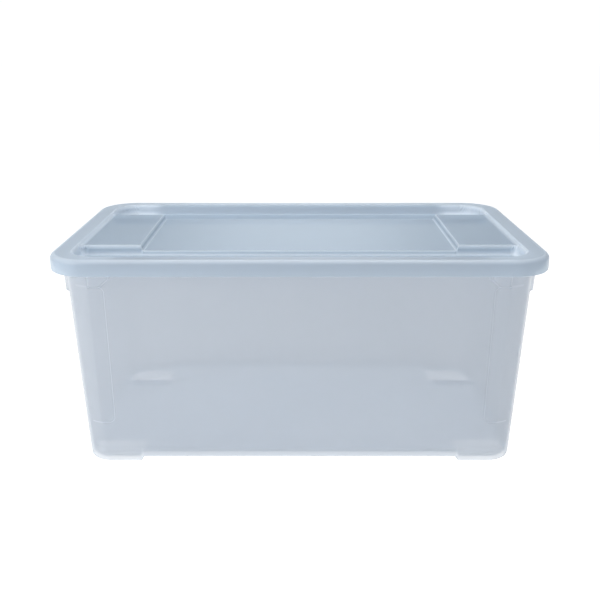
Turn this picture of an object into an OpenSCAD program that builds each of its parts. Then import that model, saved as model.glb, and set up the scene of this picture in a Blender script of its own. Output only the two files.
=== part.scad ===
// Shoe box of translucent polypropylene: a drafted tub on four hollow corner feet, and a lift-off lid
// whose top is pressed down into stacking grooves that take the feet of the next box.
// Origin: middle of the plane that the feet stand on. +X runs along the length, +Z is up.

/* [Overall] */
// Length over the lid, left to right
lid_w = 410; // [380:1:460]
// Depth over the lid, front to back
lid_d = 239; // [225:1:280]
// Height from the feet to the top of the lid
total_h = 187; // [120:1:260]

/* [Tub] */
// How far the foot of the tub stands in from the edge of the lid
foot_inset = 18.5; // [18:0.5:20]
// Slope of the walls from the vertical, in degrees
draft = 2.66; // [2.2:0.02:2.7]
// Radius of the tub's corners at the foot
base_r = 21; // [18:1:26]
// Thickness of the tub's walls
wall_t = 1.8; // [1.5:0.1:2.2]
// Thickness of the floor and of the soles of the feet
floor_t = 2; // [1.6:0.1:2.4]
// Radius of the outer edge under the feet
sole_round = 2.4; // [1:0.2:3]

/* [Feet] */
// Height of the feet below the raised floor
foot_h = 4; // [3:0.5:4]
// Length of a foot along X
foot_len = 48; // [40:1:60]
// Depth of a foot along Y
foot_dep = 40; // [36:1:50]

/* [Corner details] */
// Height of the top of the base block, where the shallow corner panels begin
panel_z = 38; // [30:1:60]
// Depth of the shallow corner panels
panel_sink = 0.6; // [0.3:0.1:0.8]
// How far the lugs under the rim stand proud of the wall
lug_proud = 2.5; // [1.5:0.1:2.8]
// Distance from the top of the lid to the bottom of the lugs on the long walls
lug_drop = 25.5; // [20:0.5:30]
// Extra length of the lugs on the end walls
end_lug_extra = 10; // [4:1:14]

/* [Lid] */
// Corner radius of the lid in plan
lid_r = 34; // [28:1:36]
// Thickness of the lid's skirt
skirt_t = 1.8; // [1.5:0.1:2.2]
// Thickness of the lid's top
top_t = 2; // [1.6:0.1:2.2]
// Height of the lid's skirt
skirt_h = 13.4; // [13:0.2:16]
// Radius of the lid's upper outer edge
lid_round = 4.4; // [3:0.2:5]
// Depth of the end platforms below the border
platform_drop = 1.5; // [1:0.1:2]
// Depth of the central panel below the border
panel_drop = 6.3; // [5:0.1:7]
// Depth of the stacking grooves below the border
groove_drop = 10; // [9:0.2:11]
// Half length of the central panel
panel_half = 135; // [120:1:140]
// Half depth of the central panel and the platforms
platform_half = 62; // [50:1:66]

/* [Fit] */
// Gap between the lid's skirt and the lip of the tub
skirt_gap = 0.5; // [0.4:0.1:0.8]
// Gap between the underside of the lid and the rim of the tub
seat_gap = 0.3; // [0.3:0.1:0.6]

/* [Hidden] */
$fn = 96;
eps = 0.01;
far = 600;
below = 1;
plastic = [0.76, 0.83, 0.88, 0.55];

// Tub, derived
base_w = lid_w - 2 * foot_inset;
base_d = lid_d - 2 * foot_inset;
corner_x = base_w / 2 - base_r;
corner_y = base_d / 2 - base_r;
slope = tan(draft);
rim_z = total_h - top_t - seat_gap;
flange_t = 2;
lip_t = 1.6;
lip_h = 8;
floor_z = foot_h + floor_t;
sole_step = 2;
gap_x = base_w / 2 - foot_len;
gap_y = base_d / 2 - foot_dep;
inner_fillet = 4;
hollow_fillet = 1;
arc_steps = 6;

// Lid, derived
lid_x = lid_w / 2 - lid_r;
lid_y = lid_d / 2 - lid_r;
skirt_z = total_h - skirt_h;
lip_in = skirt_t + skirt_gap;
recess_x = base_w / 2 + 0.5;
recess_y = base_d / 2 + 3.5;
recess_r = base_r;
groove_in_r = 7;
panel_y = platform_half + 1;
lid_hollow_y = platform_half - top_t;

// Corner details, derived
lug_z = total_h - lug_drop;
lug_in = 3.5;
lug_out = 5.5;
lug_flare = 8.3;
lug_flare_h = 7.6;
lug_chamfer = 2.4;
panel_in = 7;
panel_corner_r = 6;
panel_reach = 40;
gusset_t = 1.2;
gusset_l = 8;
gusset_h = 5.5;
gusset_drop = 5;
gusset_pitch = 100;

// Distance of the outer wall from the corner axis at height z
function wall_r(z) = base_r + slope * z;

// A rectangle with true round corners
module rounded_rect(w, d, r) {
    square([w - 2 * r, d], center = true);
    square([w, d - 2 * r], center = true);
    for (x = [-1, 1], y = [-1, 1])
        translate([x * (w / 2 - r), y * (d / 2 - r)])
            circle(r);
}

// Sweeps a profile of radius and height round a rectangle of corner axes
module swept(cx, cy) {
    for (i = [0:3]) {
        sx = (i == 0 || i == 3) ? 1 : -1;
        sy = i < 2 ? 1 : -1;
        translate([sx * cx, sy * cy, 0])
            rotate([0, 0, 90 * i])
                rotate_extrude(angle = 90)
                    children();
    }
    for (a = [0, 180])
        rotate([0, 0, a])
            translate([cx, 0, 0])
                rotate([90, 0, 0])
                    linear_extrude(2 * cy, center = true)
                        children();
    for (a = [90, 270])
        rotate([0, 0, a])
            translate([cy, 0, 0])
                rotate([90, 0, 0])
                    linear_extrude(2 * cx, center = true)
                        children();
}

// A drafted block that stands inset from the outer wall, with its lower edge rounded
module drafted(z0, z1, inset, edge_r) {
    r0 = wall_r(z0) - inset;
    r1 = wall_r(z1) - inset;
    low = [[0, z0], [r0 - edge_r, z0]];
    arc = [for (i = [0.5:arc_steps - 0.5]) let (a = 90 * i / arc_steps)
        [r0 - edge_r + edge_r * sin(a), z0 + edge_r - edge_r * cos(a)]];
    high = [[r0 + slope * edge_r, z0 + edge_r], [r1, z1], [0, z1]];
    swept(corner_x, corner_y)
        polygon(concat(low, arc, high));
    translate([-corner_x, -corner_y, z0])
        cube([2 * corner_x, 2 * corner_y, z1 - z0]);
}

// Copies its children to all four corners by mirroring
module at_corners() {
    for (x = [0, 1], y = [0, 1])
        mirror([x, 0, 0])
            mirror([0, y, 0])
                children();
}

// Side view of the space between two feet, wider at the bottom by the slope of their inner ends
module gap_profile(half) {
    top = half - sole_step;
    polygon([[-half - eps, -below], [half + eps, -below], [top, foot_h], [-top, foot_h]]);
}

// The space under the raised floor between the feet, open to all sides
module foot_gap() {
    rotate([90, 0, 0])
        linear_extrude(far, center = true)
            gap_profile(gap_x);
    rotate([90, 0, 90])
        linear_extrude(far, center = true)
            gap_profile(gap_y);
}

// The hollow inside one foot, above its sole
module foot_hollow() {
    intersection() {
        drafted(floor_t, floor_z + below, wall_t, hollow_fillet);
        translate([gap_x + floor_t, gap_y + floor_t, 0])
            cube([foot_len, foot_dep, floor_z + below]);
    }
}

// Outline of the rim, drawn in from its outer edge
module rim_outline(inset) {
    cut = lip_in + inset;
    rounded_rect(lid_w - 2 * cut, lid_d - 2 * cut, lid_r - cut);
}

// The rim's flat flange and the lip that hangs from its edge
module rim() {
    translate([0, 0, rim_z - flange_t])
        linear_extrude(flange_t)
            rim_outline(0);
    translate([0, 0, rim_z - lip_h])
        linear_extrude(lip_h)
            difference() {
                rim_outline(0);
                rim_outline(lip_t);
            }
}

// Ribs that tie the lip to the long walls under the flange
module gussets() {
    reach = lid_d / 2 - lip_in - lip_t / 2;
    for (i = [-1.5:1:1.5], y = [0, 1])
        mirror([0, y, 0])
            translate([i * gusset_pitch - gusset_t / 2, reach - gusset_l, rim_z - flange_t - gusset_drop])
                cube([gusset_t, gusset_l, gusset_h]);
}

// One lug, seen along Y: square outside, with a slanted inner edge that spreads towards the rim
module lug_face(axis, z0) {
    inner = axis - lug_in;
    outer = axis + lug_out;
    wide = inner - lug_flare;
    top = rim_z - flange_t / 2;
    polygon([[inner, z0], [outer, z0], [outer, top], [wide, top], [wide, z0 + lug_flare_h]]);
}

// Lugs of one wall: the face outline cut to a slab that follows the drafted wall
module lug(axis, half, z0) {
    buried = half + slope * z0 - wall_t / 2;
    proud = half + slope * z0 + lug_proud;
    proud_top = half + slope * rim_z + lug_proud;
    chamfer_z = z0 + lug_chamfer / 2;
    intersection() {
        rotate([90, 0, 0])
            mirror([0, 0, 1])
                linear_extrude(far)
                    lug_face(axis, z0);
        rotate([90, 0, 90])
            linear_extrude(far)
                polygon([[buried, z0 - lug_chamfer], [proud, chamfer_z],
                         [proud_top, rim_z], [buried, rim_z]]);
    }
}

// The shallow panel sunk into a long wall beside its corner
module corner_panel() {
    z1 = lug_z + 1;
    y0 = wall_r(panel_z) + corner_y - panel_sink;
    y1 = wall_r(z1) + corner_y - panel_sink;
    intersection() {
        rotate([90, 0, 0])
            mirror([0, 0, 1])
                linear_extrude(far)
                    translate([corner_x - panel_in + panel_reach / 2, (panel_z + z1) / 2])
                        rounded_rect(panel_reach, z1 - panel_z, panel_corner_r);
        rotate([90, 0, 90])
            linear_extrude(far)
                polygon([[y0, panel_z], [y1, z1], [y1 + panel_reach, z1], [y1 + panel_reach, panel_z]]);
    }
}

module tub() {
    color(plastic)
        difference() {
            union() {
                difference() {
                    drafted(0, rim_z - flange_t / 2, 0, sole_round);
                    at_corners()
                        corner_panel();
                }
                rim();
                gussets();
                at_corners()
                    lug(corner_x, base_d / 2, lug_z);
                at_corners()
                    mirror([1, -1, 0])
                        lug(corner_y, base_w / 2, lug_z - end_lug_extra);
            }
            drafted(floor_z, rim_z + below, wall_t, inner_fillet);
            at_corners()
                foot_hollow();
            foot_gap();
        }
}

// Outline of one stacking groove: wide round corners outside, tight ones beside the platform
module groove_outline(grow) {
    x1 = recess_x + grow;
    y0 = platform_half - grow;
    y1 = recess_y + grow;
    r1 = recess_r + grow;
    r0 = max(groove_in_r - grow, 1);
    translate([r1 - x1, y0])
        square([2 * (x1 - r1), y1 - y0]);
    translate([r0 - x1, y0])
        square([2 * (x1 - r0), y1 - y0 - r1]);
    translate([-x1, y0 + r0])
        square([2 * x1, y1 - y0 - r0 - r1]);
    for (s = [-1, 1]) {
        translate([s * (x1 - r1), y1 - r1])
            circle(r1);
        translate([s * (x1 - r0), y0 + r0])
            circle(r0);
    }
}

// What is pressed out of the lid's top
module top_recesses() {
    translate([0, 0, total_h - platform_drop])
        linear_extrude(far)
            rounded_rect(2 * recess_x, 2 * recess_y, recess_r);
    translate([0, 0, total_h - panel_drop])
        linear_extrude(far)
            square([2 * panel_half, 2 * panel_y], center = true);
    for (y = [0, 1])
        mirror([0, y, 0])
            translate([0, 0, total_h - groove_drop])
                linear_extrude(far)
                    groove_outline(0);
}

// One level of the hollow under the lid: from below the skirt up to a thickness under the given drop
module hollow_level(drop) {
    translate([0, 0, skirt_z - below])
        linear_extrude(skirt_h + below - drop - top_t)
            children();
}

// Outline of the inside of the skirt
module skirt_inside() {
    rounded_rect(lid_w - 2 * skirt_t, lid_d - 2 * skirt_t, lid_r - skirt_t);
}

// What is hollow under the lid's top: grooves, border, panel and the two platforms
module underside() {
    hollow_level(groove_drop)
        skirt_inside();
    hollow_level(0)
        difference() {
            skirt_inside();
            rounded_rect(2 * (recess_x + top_t), 2 * (recess_y + top_t), recess_r + top_t);
        }
    hollow_level(panel_drop)
        square([2 * (panel_half + top_t), 2 * lid_hollow_y], center = true);
    for (x = [0, 1])
        mirror([x, 0, 0])
            hollow_level(platform_drop)
                translate([panel_half + top_t, -lid_hollow_y])
                    square([recess_x - panel_half + below, 2 * lid_hollow_y]);
}

// The lid's outer form with its upper edge rounded
module lid_block() {
    edge_r = lid_r - lid_round;
    edge_z = total_h - lid_round;
    translate([0, 0, skirt_z])
        linear_extrude(skirt_h - lid_round)
            rounded_rect(lid_w, lid_d, lid_r);
    translate([0, 0, edge_z - eps])
        linear_extrude(lid_round + eps)
            rounded_rect(lid_w - 2 * lid_round, lid_d - 2 * lid_round, edge_r);
    swept(lid_x, lid_y)
        intersection() {
            translate([edge_r, edge_z])
                circle(lid_round);
            translate([edge_r - below, edge_z - eps])
                square(lid_round + below + eps);
        }
}

module lid() {
    color(plastic)
        difference() {
            lid_block();
            top_recesses();
            underside();
        }
}

tub();
lid();
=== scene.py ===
"""Shoe box of translucent polypropylene: a tub with a lift-off lid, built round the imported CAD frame."""
import math

import bpy
import mathutils
import numpy as np
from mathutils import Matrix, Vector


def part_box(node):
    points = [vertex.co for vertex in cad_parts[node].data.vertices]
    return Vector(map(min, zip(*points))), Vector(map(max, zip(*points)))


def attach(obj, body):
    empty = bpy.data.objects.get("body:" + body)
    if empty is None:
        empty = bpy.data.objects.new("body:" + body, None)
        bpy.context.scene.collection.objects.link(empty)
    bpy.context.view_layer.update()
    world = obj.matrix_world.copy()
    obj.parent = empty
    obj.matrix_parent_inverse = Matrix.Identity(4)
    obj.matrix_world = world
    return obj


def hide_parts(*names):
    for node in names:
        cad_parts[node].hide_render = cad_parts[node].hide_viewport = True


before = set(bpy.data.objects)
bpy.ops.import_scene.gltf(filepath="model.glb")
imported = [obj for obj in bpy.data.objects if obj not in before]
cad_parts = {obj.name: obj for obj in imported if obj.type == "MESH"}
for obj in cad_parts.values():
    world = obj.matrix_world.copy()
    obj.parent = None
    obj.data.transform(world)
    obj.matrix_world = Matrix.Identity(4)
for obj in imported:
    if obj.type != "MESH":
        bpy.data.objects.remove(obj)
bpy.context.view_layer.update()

MM = 0.001

# ---------------------------------------------------------------- sizes, in millimetres, from the frame
_, tub_high = (np.array(corner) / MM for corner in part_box("tub"))
lid_low, lid_high = (np.array(corner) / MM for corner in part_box("lid"))

TOP = lid_high[2]
SKIRT_Z = lid_low[2]
LID_X, LID_Y = lid_high[0], lid_high[1]
RIM_Z = tub_high[2]
LIP_X, LIP_Y = tub_high[0], tub_high[1]

FOOT_INSET = 18.5
DRAFT = math.tan(math.radians(2.66))
BASE_R = 21.0
AXIS_X = LID_X - FOOT_INSET - BASE_R
AXIS_Y = LID_Y - FOOT_INSET - BASE_R
WALL = 1.8
SOLE_R = 2.4
FOOT_H = 4.0
FLOOR_Z = FOOT_H + 2.0
FOOT_LEN, FOOT_DEP = 48.0, 40.0
FOOT_X = LID_X - FOOT_INSET - FOOT_LEN
FOOT_Y = LID_Y - FOOT_INSET - FOOT_DEP
FOOT_CORNER_R = 4.0
FOOT_STEP, FOOT_STEP_LEAD = 3.2, 2.4
FOOT_BLEND_H = 14.0
FLOOR_FILLET = 4.0
FLANGE = 2.0
FLANGE_FILLET = 1.5
LIP = 1.6
LIP_H = 8.0
LIP_FILLET = 0.8
LIP_ROOT = 2.0
RIM_ROUND = 1.0
MOUTH_ROUND = 1.2
LID_R = 34.0
LIP_R = LID_R - (LID_X - LIP_X)

LUG_Z = TOP - 25.5
END_LUG_Z = LUG_Z - 10.0
LUG_PROUD = 2.5
LUG_IN, LUG_OUT = 3.5, 5.5
LUG_FLARE, LUG_FLARE_H, LUG_LEAN = 8.3, 7.6, 1.09
LUG_FILLET = 1.0
LUG_STEP = 1.3
PANEL_Z = 38.0
PANEL_SINK = 0.6
PANEL_BEFORE_AXIS = 7.0
PANEL_OVER_LUG = 1.0
PANEL_CORNER_R = 6.0
PANEL_STEP = 1.2
DETAIL_LEAD = 0.4
FACING = 0.8
GUSSET_PITCH = 100.0
GUSSET_H, GUSSET_RISE, GUSSET_HALF_T = 10.0, 2.5, 0.6
GUSSET_ROOT_DROP, GUSSET_BURIED = 7.0, 0.9

SKIRT = 1.8
SKIRT_FILLET = 1.0
TOP_T = 2.0
EDGE_R = 4.4
RECESS_X = LID_X - FOOT_INSET + 0.5
RECESS_Y = LID_Y - FOOT_INSET + 3.5
PLATFORM_DROP = 1.5
PANEL_DROP = 6.3
GROOVE_DROP = 10.0
GROOVE_IN_R = 7.0
PANEL_HALF = 135.0
PLATFORM_HALF = 62.0
PANEL_PAST_PLATFORM = 5.0
LEVEL_STEP, GROOVE_STEP = 3.0, 4.0
PLATFORM_LEAD, PANEL_LEAD, GROOVE_LEAD = 1.6, 1.2, 0.8

# Spacing of the mesh where it follows small features, and of the rows that hold a face flat beside a round
FINE = 0.7
ROW_FINE = 0.8
HOLD_LIP, HOLD_RIM, HOLD_SKIRT, HOLD_EDGE, HOLD_FLANGE = 1.4, 1.8, 1.6, 2.5, 2.2

# Extra milkiness, from 0 to 1, where the plastic is thicker or bent, with a whiter tint that partly paints
# highlight lines;
# a shade, from 0 to 1, is painted shade: a darker tint along the front groove's outer wall, and a painted
# shadow under the side lugs
BORDER_MILK = 0.48
SKIRT_MILK = 0.38
EDGE_MILK = 0.7
# Painted shade along the front groove's outer wall, and a painted shadow in a band LUG_SHADE_H high under
# the side lugs
GROOVE_SHADE = 0.7
LUG_SHADE = 1.0
LUG_SHADE_H = 2.2
BEND_MILK = 0.35
RIM_MILK = 0.6
SOLE_MILK = 0.3
FOOT_EDGE_MILK = 0.2
PANEL_EDGE_MILK = 0.18
LUG_EDGE_MILK = 0.2

# Where the milkiness and the painted shade of the lid's top start and how far they take to fade, inwards
# from the border's inner edge (INSIDE, BORDER, SHADE), towards the ends (END) and beside the grooves
# (GROOVE)
INSIDE_FROM, INSIDE_FADE = 3.0, 2.0
BORDER_FROM, BORDER_FADE = 2.0, 3.0
SHADE_LEAD, SHADE_FADE = 1.2, 1.0
END_FROM, END_FADE = 140.0, 20.0
GROOVE_FADE = 8.0


# ---------------------------------------------------------------- smooth helpers
def ramp(d, width):
    """0 below zero, 1 above width, with a smooth S between."""
    t = np.clip(d / width, 0.0, 1.0)
    return t * t * (3.0 - 2.0 * t)


def soft_min(a, b, k):
    """The smaller of two heights, with a fillet of about k where they cross."""
    h = np.clip(0.5 + 0.5 * (b - a) / k, 0.0, 1.0)
    return b + (a - b) * h - k * h * (1.0 - h)


def inside_corner(dx, dy, r):
    """Depth inside a quadrant whose corner is rounded to r; negative outside."""
    near = (dx < r) & (dy < r)
    return np.where(near, r - np.hypot(r - dx, r - dy), np.minimum(dx, dy))


def lines(stops):
    """Coordinates from 0 outwards: stops are (end, step) pairs."""
    out = [0.0]
    for end, step in stops:
        n = max(1, int(math.ceil((end - out[-1]) / step - 1e-6)))
        start = out[-1]
        out += [start + (end - start) * (i + 1) / n for i in range(n)]
    return np.array(out)


class Sheet:
    """A grid laid over a rounded rectangle, and the grid's outermost points in order."""

    def __init__(self, half_x, half_y, corner_lines):
        """half_x, half_y: line positions from 0 to a corner axis; corner_lines: lines in half a corner."""
        theta = np.radians(45.0) * np.arange(1, corner_lines + 1) / corner_lines
        corner = math.sqrt(2.0) * np.sin(theta)
        self.x, self.u = self._axis(half_x, corner)
        self.y, self.v = self._axis(half_y, corner)
        nx, ny = len(self.x), len(self.y)
        right = [(nx - 1, j) for j in range(ny)]
        back = [(i, ny - 1) for i in range(nx - 2, -1, -1)]
        left = [(0, j) for j in range(ny - 2, -1, -1)]
        front = [(i, 0) for i in range(1, nx - 1)]
        self.edge = np.array(right + back + left + front)
        self.shape = (nx, ny)

    @staticmethod
    def _axis(half, corner):
        """Line positions between the corner axes, and how far each line reaches into the corner."""
        straight = np.concatenate([-half[:0:-1], half])
        ends = np.full(len(corner), half[-1])
        pos = np.concatenate([-ends, straight, ends])
        par = np.concatenate([-corner[::-1], np.zeros(len(straight)), corner])
        return pos, par

    def plan(self, axis_x, axis_y, r):
        """Plan position of every grid point on a rounded rectangle with those corner axes and radius."""
        sx, sy = axis_x / self.x[-1], axis_y / self.y[-1]
        u, v = np.meshgrid(self.u, self.v, indexing="ij")
        x, y = np.meshgrid(self.x * sx, self.y * sy, indexing="ij")
        x = x + r * u * np.sqrt(1.0 - v * v / 2.0)
        y = y + r * v * np.sqrt(1.0 - u * u / 2.0)
        return x, y

    def ring(self, axis_x, axis_y, r):
        """Plan position and outward normal of the edge points on such a rounded rectangle."""
        i, j = self.edge[:, 0], self.edge[:, 1]
        x, y = self.plan(axis_x, axis_y, 1.0)
        x0, y0 = self.plan(axis_x, axis_y, 0.0)
        nx, ny = (x - x0)[i, j], (y - y0)[i, j]
        return x0[i, j] + r * nx, y0[i, j] + r * ny, nx, ny


def gusset(x, side):
    """Corners and faces of a thin rib between the rim's lip and a long wall; its foot slopes."""
    inner = wall_r(RIM_Z - GUSSET_ROOT_DROP) + AXIS_Y - GUSSET_BURIED
    outer = LIP_Y - LIP / 2
    low, high = RIM_Z - GUSSET_H, RIM_Z - FLANGE / 2
    outline = [(inner, low), (outer, low + GUSSET_RISE), (outer, high), (inner, high)]
    points = []
    for dx in (-GUSSET_HALF_T, GUSSET_HALF_T):
        points += [(x + dx, side * y, z, RIM_MILK) for y, z in outline]
    faces = [(0, 1, 2, 3), (7, 6, 5, 4), (0, 4, 5, 1), (1, 5, 6, 2), (2, 6, 7, 3), (3, 7, 4, 0)]
    return np.array(points), np.array([f if side < 0 else f[::-1] for f in faces])


def closed_mesh(name, sheet, under, rows, over, extras=()):
    """One closed mesh from a lower grid, rows of edge points and an upper grid, with extras beside it."""
    nx, ny = sheet.shape
    grid = np.arange(nx * ny).reshape(nx, ny)
    ring = grid[sheet.edge[:, 0], sheet.edge[:, 1]]
    count = nx * ny
    verts = [under.reshape(-1, 4)]
    loops = [ring]
    for row in rows:
        verts.append(row)
        loops.append(np.arange(len(ring)) + count)
        count += len(ring)
    verts.append(over.reshape(-1, 4))
    loops.append(ring + count)
    faces = []
    a, b = grid[:-1, :-1].ravel(), grid[1:, :-1].ravel()
    c, d = grid[1:, 1:].ravel(), grid[:-1, 1:].ravel()
    faces.append(np.stack([a, d, c, b], 1))
    faces.append(np.stack([a, b, c, d], 1) + count)
    for low, high in zip(loops[:-1], loops[1:]):
        faces.append(np.stack([low, np.roll(low, -1), np.roll(high, -1), high], 1))
    count += nx * ny
    for points, quads in extras:
        verts.append(points)
        faces.append(quads + count)
        count += len(points)
    mesh = bpy.data.meshes.new(name)
    verts = np.concatenate(verts)
    mesh.from_pydata((verts[:, :3] * MM).tolist(), [], np.concatenate(faces).tolist())
    milk = mesh.attributes.new("milk", "FLOAT", "POINT")
    milk.data.foreach_set("value", np.clip(verts[:, 3], -1.0, 1.0))
    mesh.shade_smooth()
    piece = bpy.data.objects.new(name, mesh)
    bpy.context.scene.collection.objects.link(piece)
    weighted = piece.modifiers.new("even_normals", "WEIGHTED_NORMAL")
    weighted.mode = "FACE_AREA"
    return piece


def stacked(x, y, z, milk):
    """Points with their share of extra milkiness; a share below 0 is painted shade."""
    return np.stack([x, y, np.broadcast_to(z, np.shape(x)), np.broadcast_to(milk, np.shape(x))], -1)


def edge_of(share):
    """1 in the middle of a step between two levels, 0 on either level."""
    return 4.0 * share * (1.0 - share)


def arc(cx, cz, r, start, end, steps):
    """Points of a profile arc: angle 0 points outwards, 90 up."""
    angles = np.radians(np.linspace(start, end, steps + 1))
    return [(cx + r * math.cos(a), cz + r * math.sin(a)) for a in angles]


# ---------------------------------------------------------------- tub
def foot_share(x, y, inset):
    """1 over a foot, 0 over the raised floor, with a steep rounded step between."""
    depth = inside_corner(np.abs(x) - FOOT_X - inset, np.abs(y) - FOOT_Y - inset, FOOT_CORNER_R)
    return ramp(depth + FOOT_STEP_LEAD, FOOT_STEP)


def wall_r(z):
    """Corner radius of the drafted wall's outer face at a height."""
    return BASE_R + DRAFT * z


def lug_share(along, z, axis, low):
    """1 on the lug beside a corner axis, 0 off it; its inner edge slants outwards towards the rim."""
    slant = (along - axis + LUG_IN) + np.clip(z - low, 0.0, LUG_FLARE_H) * (LUG_FLARE / LUG_FLARE_H)
    inner = slant / math.hypot(1.0, LUG_LEAN)
    outer = axis + LUG_OUT - along
    bottom = z - low
    depth = soft_min(soft_min(inner, outer, LUG_FILLET), bottom, LUG_FILLET)
    return ramp(depth + DETAIL_LEAD, LUG_STEP)


def shape_wall(x, y, nx, ny, z):
    """Adds the shallow corner panels and the lugs to a row of outer wall points, with the milkiness of their
    edges and a painted shadow along the side lugs' lower edge.
    """
    ax, ay = np.abs(x), np.abs(y)
    sx, sy = np.sign(x), np.sign(y)
    flat_y = AXIS_Y + wall_r(z)
    flat_x = AXIS_X + wall_r(z)
    long_wall = np.abs(ny) > FACING
    end_wall = np.abs(nx) > FACING
    above, under = z - PANEL_Z, LUG_Z + PANEL_OVER_LUG - z
    panel = inside_corner(ax - (AXIS_X - PANEL_BEFORE_AXIS), np.minimum(above, under), PANEL_CORNER_R)
    panel = ramp(panel + DETAIL_LEAD, PANEL_STEP)
    ay = np.where(long_wall, np.minimum(ay, flat_y - PANEL_SINK * panel), ay)
    side_lug = lug_share(ax, z, AXIS_X, LUG_Z)
    ay = np.where(long_wall, ay + (flat_y + LUG_PROUD - ay) * side_lug, ay)
    end_lug = lug_share(np.abs(y), z, AXIS_Y, END_LUG_Z)
    ax = np.where(end_wall, ax + (flat_x + LUG_PROUD - ax) * end_lug, ax)
    # Painted shadow: round the side lugs' lower edge the milk goes below 0, a darker band where the lug's
    # underside is
    underside = max(0.0, 1.0 - abs(z - LUG_Z) / LUG_SHADE_H)
    lug_edge = LUG_EDGE_MILK * (1.0 - underside) - LUG_SHADE * underside
    milk = np.where(long_wall, edge_of(panel) * PANEL_EDGE_MILK + edge_of(side_lug) * lug_edge, 0.0)
    return ax * sx, ay * sy, milk + np.where(end_wall, edge_of(end_lug) * LUG_EDGE_MILK, 0.0)


def build_tub():
    """The tub: outside from the feet up, over the rim, and down the inside to the floor."""
    # Fine steps over the feet's inner edges and beside the corners, coarse ones between
    half_x = lines([(FOOT_X - 4, 9.0), (FOOT_X + 4, FINE), (150.0, 3.0), (AXIS_X, FINE)])
    half_y = lines([(FOOT_Y - 4, 8.0), (FOOT_Y + 4, FINE), (AXIS_Y, FINE)])
    sheet = Sheet(half_x, half_y, corner_lines=18)

    x, y = sheet.plan(AXIS_X, AXIS_Y, wall_r(0) - SOLE_R)
    foot = foot_share(x, y, 0.0)
    under = stacked(x, y, FOOT_H * (1.0 - foot), edge_of(foot) * FOOT_EDGE_MILK)

    rows = []

    def outer_row(r, z, detail):
        """A row of the outer wall, raised between the feet; detail adds the panels and lugs."""
        x, y, nx, ny = sheet.ring(AXIS_X, AXIS_Y, r)
        foot = foot_share(x, y, 0.0)
        near_floor = max(0.0, 1.0 - z / FOOT_BLEND_H)
        lift = FOOT_H * (1.0 - foot) * near_floor
        x, y = x + nx * DRAFT * lift, y + ny * DRAFT * lift
        milk = SOLE_MILK * near_floor + edge_of(foot) * FOOT_EDGE_MILK * near_floor
        if detail:
            x, y, extra = shape_wall(x, y, nx, ny, z)
            milk = milk + extra
        rows.append(stacked(x, y, z + lift, milk))

    for r, z in arc(wall_r(0) - SOLE_R, SOLE_R, SOLE_R, -75.0, 0.0, 5):
        outer_row(r, z, False)
    flange_z = RIM_Z - FLANGE
    # Close rows over the panels' lower edge and over the lugs, few between
    heights = [
        np.linspace(FLOOR_Z, PANEL_Z - 8, 4),
        np.linspace(PANEL_Z - 2, PANEL_Z + 8, 18),
        np.linspace(PANEL_Z + 18, END_LUG_Z - 14, 7),
        np.arange(END_LUG_Z - 4, flange_z - HOLD_FLANGE, ROW_FINE),
    ]
    for z in np.concatenate(heights):
        outer_row(wall_r(z), z, True)
    fillet_r = wall_r(flange_z) + FLANGE_FILLET
    for r, z in arc(fillet_r, flange_z - FLANGE_FILLET, FLANGE_FILLET, 180.0, 90.0, 4):
        outer_row(r, z, r < wall_r(flange_z) + DETAIL_LEAD)

    def rim_row(inset, z):
        """A row of the rim; inset is measured from the lip's outer face."""
        x, y, _, _ = sheet.ring(LIP_X - LIP_R, LIP_Y - LIP_R, LIP_R - inset)
        rows.append(stacked(x, y, z, RIM_MILK))

    low = RIM_Z - LIP_H
    rim_row(LIP + LIP_ROOT, flange_z)
    for r, z in arc(-LIP - LIP_FILLET, flange_z - LIP_FILLET, LIP_FILLET, 90.0, 0.0, 3):
        rim_row(-r, z)
    rim_row(LIP, low + HOLD_LIP)
    for r, z in arc(-LIP / 2, low + LIP / 2, LIP / 2, -180.0, 0.0, 6):
        rim_row(-r, z)
    rim_row(0.0, RIM_Z - HOLD_RIM)
    for r, z in arc(-RIM_ROUND, RIM_Z - RIM_ROUND, RIM_ROUND, 0.0, 90.0, 4):
        rim_row(-r, z)

    def inner_row(r, z):
        """A row of the inner wall, which drops into the hollow feet."""
        x, y, nx, ny = sheet.ring(AXIS_X, AXIS_Y, r)
        foot = foot_share(x, y, WALL)
        near_floor = np.clip(1.0 - (z - FLOOR_Z) / FOOT_BLEND_H, 0.0, 1.0)
        drop = FOOT_H * foot * near_floor
        milk = edge_of(foot) * FOOT_EDGE_MILK * near_floor + SOLE_MILK * near_floor
        rows.append(stacked(x - nx * DRAFT * drop, y - ny * DRAFT * drop, z - drop, milk))

    mouth_r = wall_r(RIM_Z) - WALL + MOUTH_ROUND
    for r, z in arc(mouth_r, RIM_Z - MOUTH_ROUND, MOUTH_ROUND, 90.0, 180.0, 4):
        inner_row(r, z)
    for z in np.linspace(RIM_Z - 6, FLOOR_Z + 12, 6):
        inner_row(wall_r(z) - WALL, z)
    floor_r = wall_r(FLOOR_Z) - WALL - FLOOR_FILLET
    for r, z in arc(floor_r, FLOOR_Z + FLOOR_FILLET, FLOOR_FILLET, 0.0, -75.0, 6):
        inner_row(r, z)
    x, y = sheet.plan(AXIS_X, AXIS_Y, floor_r)
    foot = foot_share(x, y, WALL)
    over = stacked(x, y, FLOOR_Z - FOOT_H * foot, edge_of(foot) * FOOT_EDGE_MILK)
    ribs = [gusset(GUSSET_PITCH * place, side) for place in (-1.5, -0.5, 0.5, 1.5) for side in (-1, 1)]
    return closed_mesh("tub_shell", sheet, under, rows, over, ribs)


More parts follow.
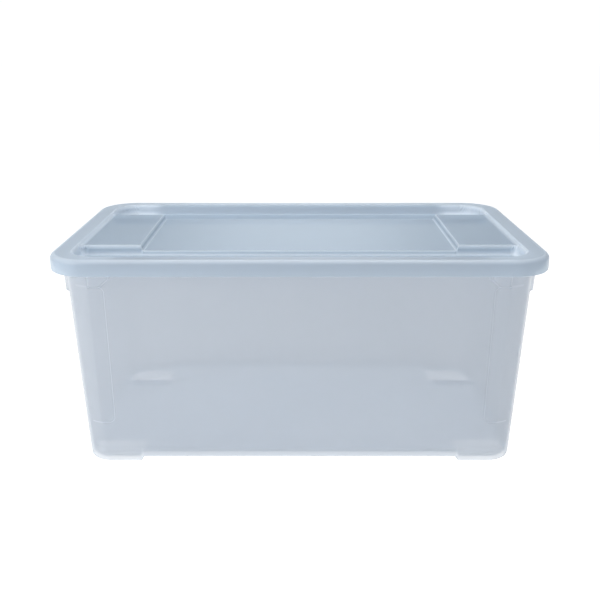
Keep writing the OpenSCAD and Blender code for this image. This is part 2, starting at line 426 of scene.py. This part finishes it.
# ---------------------------------------------------------------- lid
def lid_height(x, y, grow):
    """Height of the lid's pressed top at a place in plan; grow widens every recess for the underside."""
    ax, ay = np.abs(x), np.abs(y)
    outer = inside_corner(RECESS_X + grow - ax, RECESS_Y + grow - ay, BASE_R + grow)
    inner_r = max(GROOVE_IN_R - grow, 1.0)
    inner = inside_corner(RECESS_X + grow - ax, ay - PLATFORM_HALF + grow, inner_r)
    groove = np.minimum(outer, inner)
    panel = np.minimum(PANEL_HALF + grow - ax, PLATFORM_HALF + PANEL_PAST_PLATFORM - ay)
    height = TOP - PLATFORM_DROP * ramp(outer + PLATFORM_LEAD, LEVEL_STEP)
    height = height - (PANEL_DROP - PLATFORM_DROP) * ramp(panel + PANEL_LEAD, LEVEL_STEP)
    return np.minimum(height, TOP - GROOVE_DROP * ramp(groove + GROOVE_LEAD, GROOVE_STEP))


def lid_milk(x, y, grow):
    """Milkiness of the lid's top: most along the bends between levels, where its whiter tint partly paints
    highlight lines, some over the border, and painted shade along the outer wall of the front groove only."""
    d = FINE
    here = lid_height(x, y, grow)
    bend = (lid_height(x + d, y, grow) + lid_height(x - d, y, grow)
            + lid_height(x, y + d, grow) + lid_height(x, y - d, grow) - 4.0 * here) / d ** 2
    bend = np.clip(np.abs(bend) * BEND_MILK, 0.0, 1.0)
    border = inside_corner(RECESS_X + grow - np.abs(x), RECESS_Y + grow - np.abs(y), BASE_R + grow)
    inside = ramp(border - INSIDE_FROM, INSIDE_FADE)
    near_end = ramp(np.abs(x) - END_FROM, END_FADE)
    groove_end = near_end * ramp(np.abs(y) - PLATFORM_HALF + GROOVE_FADE, GROOVE_FADE)
    # Painted shade: a dark band over the front groove's outer wall, on the front side only
    shade = ramp(border + SHADE_LEAD, SHADE_FADE) * (1.0 - inside) * (1.0 - near_end) * (y < 0.0)
    on_border = 1.0 - ramp(border - BORDER_FROM, BORDER_FADE)
    white = bend * np.maximum(inside, groove_end) + BORDER_MILK * on_border
    return white * (1.0 - shade) - GROOVE_SHADE * shade


def build_lid():
    """The lid: its underside, the inside of the skirt, round its foot and up the outside to the top."""
    axis_x, axis_y = LID_X - LID_R, LID_Y - LID_R
    # Fine steps over the ends of the panel and the platforms, coarse ones inside them
    half_x = lines([(PANEL_HALF - 5, 5.0), (PANEL_HALF + 5, FINE), (158.0, 2.0), (axis_x, 1.0)])
    half_y = lines([(PLATFORM_HALF - 6, 4.0), (PLATFORM_HALF + 6, FINE), (82.0, 1.4), (axis_y, 1.0)])
    sheet = Sheet(half_x, half_y, corner_lines=40)
    x, y = sheet.plan(axis_x, axis_y, LID_R - EDGE_R)
    over = stacked(x, y, lid_height(x, y, 0.0), lid_milk(x, y, 0.0))
    inner_r = LID_R - SKIRT - SKIRT_FILLET
    x, y = sheet.plan(axis_x, axis_y, inner_r)
    under = stacked(x, y, lid_height(x, y, TOP_T) - TOP_T, lid_milk(x, y, TOP_T))

    rows = []

    def row(r, z, milk):
        """A row of the skirt or of the rounded edge."""
        x, y, _, _ = sheet.ring(axis_x, axis_y, r)
        rows.append(stacked(x, y, z, milk))

    for r, z in arc(inner_r, TOP - TOP_T - SKIRT_FILLET, SKIRT_FILLET, 67.5, 0.0, 3):
        row(r, z, BORDER_MILK)
    row(LID_R - SKIRT, SKIRT_Z + HOLD_SKIRT, SKIRT_MILK)
    for r, z in arc(LID_R - SKIRT / 2, SKIRT_Z + SKIRT / 2, SKIRT / 2, 180.0, 360.0, 6):
        row(r, z, SKIRT_MILK)
    row(LID_R, TOP - EDGE_R - HOLD_EDGE, SKIRT_MILK)
    # The rounded top edge turns milkier towards its top: a whiter band, partly painted highlight
    for r, z in arc(LID_R - EDGE_R, TOP - EDGE_R, EDGE_R, 0.0, 80.0, 7):
        share = ramp(z - TOP + EDGE_R, EDGE_R)
        row(r, z, SKIRT_MILK + (EDGE_MILK - SKIRT_MILK) * share)
    return closed_mesh("lid_shell", sheet, under, rows, over)


# ---------------------------------------------------------------- material
class Graph:
    """Short calls for building a node tree."""

    def __init__(self, tree):
        self.tree = tree
        tree.nodes.clear()

    def node(self, kind, props=None, **inputs):
        made = self.tree.nodes.new(kind)
        for key, value in (props or {}).items():
            setattr(made, key, value)
        for key, value in inputs.items():
            self.put(made, key.replace("_", " "), value)
        return made

    def put(self, made, key, value):
        socket = made.inputs[int(key)] if key.isdigit() else made.inputs[key]
        if isinstance(value, bpy.types.NodeSocket):
            self.tree.links.new(value, socket)
        elif isinstance(value, bpy.types.Node):
            self.tree.links.new(value.outputs[0], socket)
        else:
            socket.default_value = value

    def mix(self, fac, low, high):
        made = self.tree.nodes.new("ShaderNodeMixShader")
        for index, value in enumerate((fac, low, high)):
            self.put(made, str(index), value)
        return made

    def blend(self, fac, low, high):
        made = self.tree.nodes.new("ShaderNodeMix")
        made.data_type = "RGBA"
        for index, value in ((0, fac), (6, low), (7, high)):
            self.put(made, str(index), value)
        return made.outputs[2]

    def math(self, op, *values):
        made = self.tree.nodes.new("ShaderNodeMath")
        made.operation = op
        for index, value in enumerate(values):
            self.put(made, str(index), value)
        return made


WHITE = (1.0, 1.0, 1.0, 1.0)
COOL = (0.93, 0.97, 1.0, 1.0)

# Tints of the clear share, of the painted shade, of the milky share between two cloud levels, and of the
# milky share along edges, whose whiter tint partly paints highlight lines
TUB_TINTS = {
    "clear": (0.888, 0.898, 0.918, 1.0),
    "shade": (0.45, 0.52, 0.62, 1.0),
    "milk": (0.745, 0.80, 0.85, 1.0),
    "pale": (0.795, 0.84, 0.88, 1.0),
    "edge": (0.90, 0.94, 0.98, 1.0),
}
LID_TINTS = {
    "clear": (0.715, 0.790, 0.855, 1.0),
    "shade": (0.28, 0.42, 0.58, 1.0),
    "milk": (0.58, 0.66, 0.74, 1.0),
    "pale": (0.64, 0.72, 0.80, 1.0),
    "edge": (0.90, 0.95, 1.0, 1.0),
}
# Share of the scattered light that goes through, share of the gloss, and painted glow of the bends (an
# emission standing in for light led inside the sheet)
TUB_THROUGH, LID_THROUGH = 0.45, 0.25
TUB_GLOSS, LID_GLOSS = 0.4, 0.6
TUB_PAINTED_GLOW, LID_PAINTED_GLOW = 0.0, 0.1
# Share of the plastic that scatters, on an open face and added along an edge
HAZE, HAZE_EXTRA = 0.30, 0.5
GLOSS_ROUGHNESS, INDEX, SHEEN_MAX = 0.28, 1.45, 0.3
CLOUD_SCALE, RIPPLE_SCALE = 14.0, 90.0
RIPPLE_STRENGTH, RIPPLE_HEIGHT = 0.004, 0.001


def plastic(name, tints, share_through, share_gloss, glow):
    """Milky polypropylene: a clear, a scattering and a glossy part, with flow marks and fine ripple.
    The milk attribute makes bends whiter, partly as painted highlight lines, with a faint painted glow
    standing in for light led inside the sheet; below 0 it paints shade."""
    mat = bpy.data.materials.new(name)
    mat.use_nodes = True
    g = Graph(mat.node_tree)
    coord = g.node("ShaderNodeTexCoord")
    place = coord.outputs["Object"]
    cloud = g.node("ShaderNodeTexNoise", Vector=place, Scale=CLOUD_SCALE, Detail=3.0, Roughness=0.55)
    extra = g.node("ShaderNodeAttribute", {"attribute_name": "milk"}).outputs["Fac"]
    milky = g.math("MAXIMUM", extra, 0.0)
    # Below 0 the milk attribute paints shade: darker clear and milky tints and less gloss
    shaded = g.math("MAXIMUM", g.math("MULTIPLY", extra, -1.0), 0.0)
    haze = g.math("ADD", HAZE, g.math("MULTIPLY", g.math("ABSOLUTE", extra), HAZE_EXTRA))
    ripple = g.node("ShaderNodeTexNoise", Vector=place, Scale=RIPPLE_SCALE, Detail=2.0)
    bump = g.node("ShaderNodeBump", Height=ripple, Strength=RIPPLE_STRENGTH, Distance=RIPPLE_HEIGHT)
    clear = g.node("ShaderNodeBsdfTransparent", Color=g.blend(shaded, tints["clear"], tints["shade"]))
    # Along milky edges the tint turns whiter: partly the plastic's milkiness, partly painted highlight lines
    tint = g.blend(milky, g.blend(cloud, tints["milk"], tints["pale"]), tints["edge"])
    tint = g.blend(shaded, tint, tints["shade"])
    front = g.node("ShaderNodeBsdfDiffuse", Color=tint)
    through = g.node("ShaderNodeBsdfTranslucent", Color=tint)
    milk = g.mix(share_through, front, through)
    # Painted glow: an emission along milky bends, standing in for light led inside the sheet
    painted_glow = g.node("ShaderNodeEmission", Color=tints["edge"], Strength=g.math("MULTIPLY", milky, glow))
    body = g.node("ShaderNodeAddShader", **{"0": g.mix(haze, clear, milk), "1": painted_glow})
    gloss = g.node("ShaderNodeBsdfGlossy", Color=WHITE, Roughness=GLOSS_ROUGHNESS, Normal=bump)
    sheen = g.node("ShaderNodeFresnel", IOR=INDEX, Normal=bump)
    sheen = g.math("MULTIPLY", g.math("MINIMUM", sheen, SHEEN_MAX), share_gloss)
    sheen = g.math("MULTIPLY", sheen, g.math("SUBTRACT", 1.0, shaded))
    g.node("ShaderNodeOutputMaterial", Surface=g.mix(sheen, body, gloss))
    return mat


# ---------------------------------------------------------------- stage
FILL_LEFT, FILL_RIGHT = 0.26, 0.0
BACKDROP_SEEN = 1.02
HORIZON_GLOSS, TOP_GLOSS = 0.3, 1.5
HORIZON_Z, TOP_Z = 0.15, 0.9
BACKDROP_GLOSS = 0.9
BACKDROP_CORE, BACKDROP_EDGE = 0.02, 0.24
BEHIND_FROM, BEHIND_FULL = 0.5, 0.9
FLOOR_EDGE = 12.0
FLOOR_GREY = (0.4, 0.4, 0.4, 1.0)
FLOOR_GLOW = 0.96

# Soft boxes: place, what they point at, size, power, and whether they light nothing but the gloss
SOFT_BOXES = {
    "left_side": ((-0.85, -0.6, 0.5), (-0.2, -0.1, 0.1), (0.5, 0.5), 4.2, False),
    "overhead": ((0.0, 0.0, 1.3), (0.0, 0.0, 0.1), (0.9, 0.9), 8.0, False),
    "edge_light": ((0.1, 0.3, 1.4), (0.0, 0.0, 0.18), (1.2, 0.5), 6.0, True),
}

LENS, SENSOR = 48.0, 36.0
CAMERA_PLACE = (0.0003, -0.7256, 0.3523)
CAMERA_TILT = 0.315


def build_world():
    """White studio: plain white to the camera and a weak fill from the left.
    Reflections show a dim horizon under a bright top, and a bright backdrop in the middle behind the box."""
    world = bpy.data.worlds.new("studio")
    world.use_nodes = True
    g = Graph(world.node_tree)
    coord = g.node("ShaderNodeTexCoord")
    split = g.node("ShaderNodeSeparateXYZ", Vector=coord.outputs["Generated"])
    level = g.node("ShaderNodeMapRange", Value=split.outputs["Z"], From_Min=HORIZON_Z, From_Max=TOP_Z,
                   To_Min=HORIZON_GLOSS, To_Max=TOP_GLOSS)
    aside = g.math("ABSOLUTE", split.outputs["X"])
    middle = g.node("ShaderNodeMapRange", {"interpolation_type": "SMOOTHERSTEP"}, Value=aside,
                    From_Min=BACKDROP_CORE, From_Max=BACKDROP_EDGE, To_Min=BACKDROP_GLOSS, To_Max=0.0)
    behind = g.node("ShaderNodeMapRange", {"interpolation_type": "SMOOTHSTEP"}, Value=split.outputs["Y"],
                    From_Min=BEHIND_FROM, From_Max=BEHIND_FULL)
    level = g.math("ADD", level, g.math("MULTIPLY", middle, behind))
    mirrored = g.node("ShaderNodeBackground", Color=COOL, Strength=level)
    fill_level = g.node("ShaderNodeMapRange", Value=split.outputs["X"], From_Min=-1.0, From_Max=1.0,
                        To_Min=FILL_LEFT, To_Max=FILL_RIGHT)
    fill = g.node("ShaderNodeBackground", Color=COOL, Strength=fill_level)
    seen = g.node("ShaderNodeBackground", Color=WHITE, Strength=BACKDROP_SEEN)
    path = g.node("ShaderNodeLightPath")
    light = g.mix(path.outputs["Is Glossy Ray"], fill, mirrored)
    g.node("ShaderNodeOutputWorld", Surface=g.mix(path.outputs["Is Camera Ray"], light, seen))
    bpy.context.scene.world = world


def soft_box(name, place, target, size, power, gloss_only):
    """A rectangular area light that the camera itself does not see."""
    data = bpy.data.lights.new(name, "AREA")
    data.shape = "RECTANGLE"
    data.size, data.size_y = size
    data.energy = power
    lamp = bpy.data.objects.new(name, data)
    lamp.location = place
    aim = mathutils.Vector(target) - mathutils.Vector(place)
    lamp.rotation_euler = aim.to_track_quat("-Z", "Y").to_euler()
    bpy.context.scene.collection.objects.link(lamp)
    lamp.visible_camera = False
    if gloss_only:
        lamp.visible_diffuse = lamp.visible_transmission = False


def build_stage():
    """The white floor, the world and the soft boxes."""
    mesh = bpy.data.meshes.new("floor")
    corners = [(i * FLOOR_EDGE, j * FLOOR_EDGE, 0) for i, j in ((-1, -1), (1, -1), (1, 1), (-1, 1))]
    mesh.from_pydata(corners, [], [(0, 1, 2, 3)])
    floor = bpy.data.objects.new("floor", mesh)
    bpy.context.scene.collection.objects.link(floor)
    mat = bpy.data.materials.new("floor_white")
    mat.use_nodes = True
    g = Graph(mat.node_tree)
    matt = g.node("ShaderNodeBsdfDiffuse", Color=FLOOR_GREY)
    glow = g.node("ShaderNodeEmission", Color=WHITE, Strength=FLOOR_GLOW)
    g.node("ShaderNodeOutputMaterial", Surface=g.node("ShaderNodeAddShader", **{"0": matt, "1": glow}))
    mesh.materials.append(mat)
    build_world()
    for name, setting in SOFT_BOXES.items():
        soft_box(name, *setting)


def build_camera():
    """The camera at the photograph's angle."""
    data = bpy.data.cameras.new("camera")
    data.lens = LENS
    data.sensor_width = SENSOR
    cam = bpy.data.objects.new("camera", data)
    bpy.context.scene.collection.objects.link(cam)
    cam.location = CAMERA_PLACE
    cam.rotation_euler = (math.pi / 2 - CAMERA_TILT, 0.0, 0.0)
    bpy.context.scene.camera = cam


build_camera()
build_stage()
tub = build_tub()
lid = build_lid()
for piece, node, look in ((tub, "tub", (TUB_TINTS, TUB_THROUGH, TUB_GLOSS, TUB_PAINTED_GLOW)),
                          (lid, "lid", (LID_TINTS, LID_THROUGH, LID_GLOSS, LID_PAINTED_GLOW))):
    piece.data.materials.append(plastic(node + "_plastic", *look))
    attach(piece, node)
    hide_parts(node)
bpy.context.scene.view_settings.view_transform = "Standard"
bpy.context.scene.cycles.transparent_max_bounces = 32
